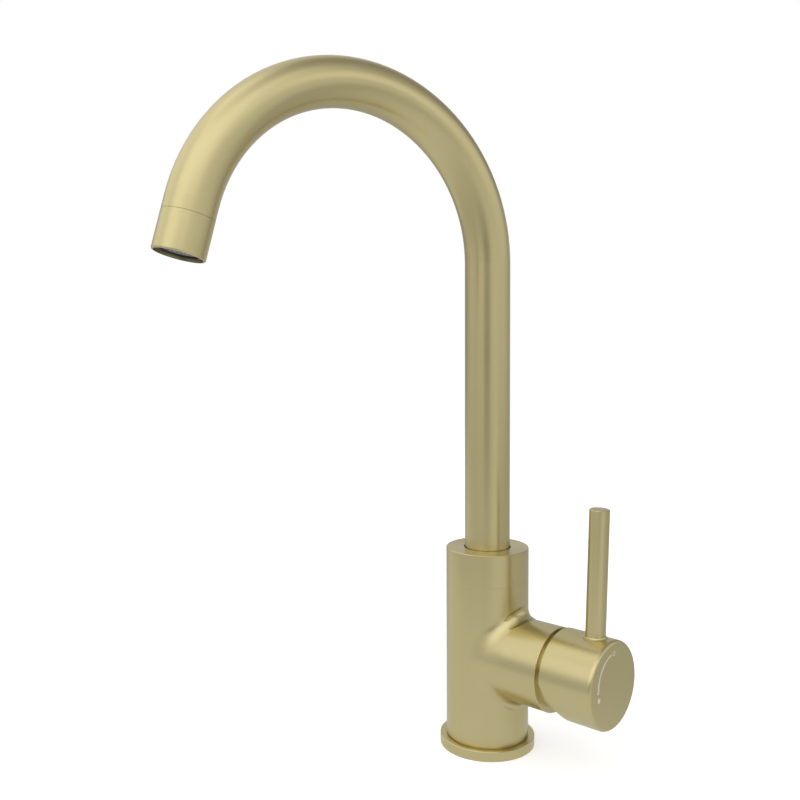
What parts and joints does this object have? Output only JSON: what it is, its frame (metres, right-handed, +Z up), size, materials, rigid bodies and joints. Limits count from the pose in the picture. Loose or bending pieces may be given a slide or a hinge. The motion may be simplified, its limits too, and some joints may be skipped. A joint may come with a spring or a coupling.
{
  "type": "mixer faucet",
  "caption": "Deck-mounted mixer faucet with a round body, a swivelling gooseneck spout and a side knob with a straight pin lever for flow and temperature.",
  "frame": {"origin": "centre of the faucet's underside, on the deck surface and on the body's upright axis", "axes": "+Z up the body axis, +X along the valve branch and its knob, -Y towards the person at the basin; the spout at rest points 14 degrees from -Y towards -X"},
  "size_m": [0.1354, 0.2107, 0.369],
  "materials": {
    "satin_gold": "brushed satin",
    "raw_brass": "machined",
    "seal_rubber": "matte",
    "bearing_plastic": "matte",
    "cartridge_plastic": "matte",
    "driver_plastic": "matte",
    "ceramic": "polished",
    "steel": "ground",
    "mark_enamel": "pale enamel",
    "aerator_ring": "matte",
    "aerator_screen": "matte"
  },
  "bodies": {
    "body": {"base_flange": "satin_gold", "base_seal": "seal_rubber", "body_casting": "satin_gold", "spout_collar": "satin_gold", "lower_bearing_ring": "bearing_plastic", "upper_bearing_ring": "bearing_plastic", "cartridge_base": "cartridge_plastic", "port_seals": "seal_rubber", "disc_seals": "seal_rubber", "fixed_disc": "ceramic", "cartridge_housing": "cartridge_plastic", "cartridge_nut": "raw_brass", "cover_ring": "satin_gold"},
    "mixing_carrier": {"cartridge_carrier": "cartridge_plastic", "pivot_pin": "steel"},
    "handle": {"control_stem": "raw_brass", "knob": "satin_gold", "lever": "satin_gold", "grub_screw": "steel", "screw_cap": "satin_gold", "temperature_mark": "mark_enamel"},
    "flow_disc": {"moving_disc": "ceramic", "disc_driver": "driver_plastic"},
    "spout": {"spout_tube": "satin_gold", "spout_foot": "raw_brass", "spout_o_rings": "seal_rubber", "spout_tip": "satin_gold", "aerator_ring": "aerator_ring", "aerator_screen": "aerator_screen", "aerator_washer": "seal_rubber"}
  },
  "joints": [
    {"name": "spout_swivel", "type": "hinge", "parent": "body", "child": "spout", "pos_m": [0, 0, 0.076], "axis": [0, 0, 1], "continuous": true},
    {"name": "temperature", "type": "hinge", "parent": "body", "child": "mixing_carrier", "pos_m": [0.0515, 0, 0.053], "axis": [1, 0, 0], "range_deg": [0, 100]},
    {"name": "flow", "type": "hinge", "parent": "mixing_carrier", "child": "handle", "pos_m": [0.0515, 0, 0.053], "axis": [0, 1, 0], "range_deg": [0, 25]},
    {"name": "disc_slide", "type": "slide", "parent": "mixing_carrier", "child": "flow_disc", "axis": [0, 0, 1], "range_m": [0, 0.00685]}
  ],
  "couplings": [
    {"joint": "disc_slide", "follows": "flow", "m_per_rad": 0.015477}
  ]
}
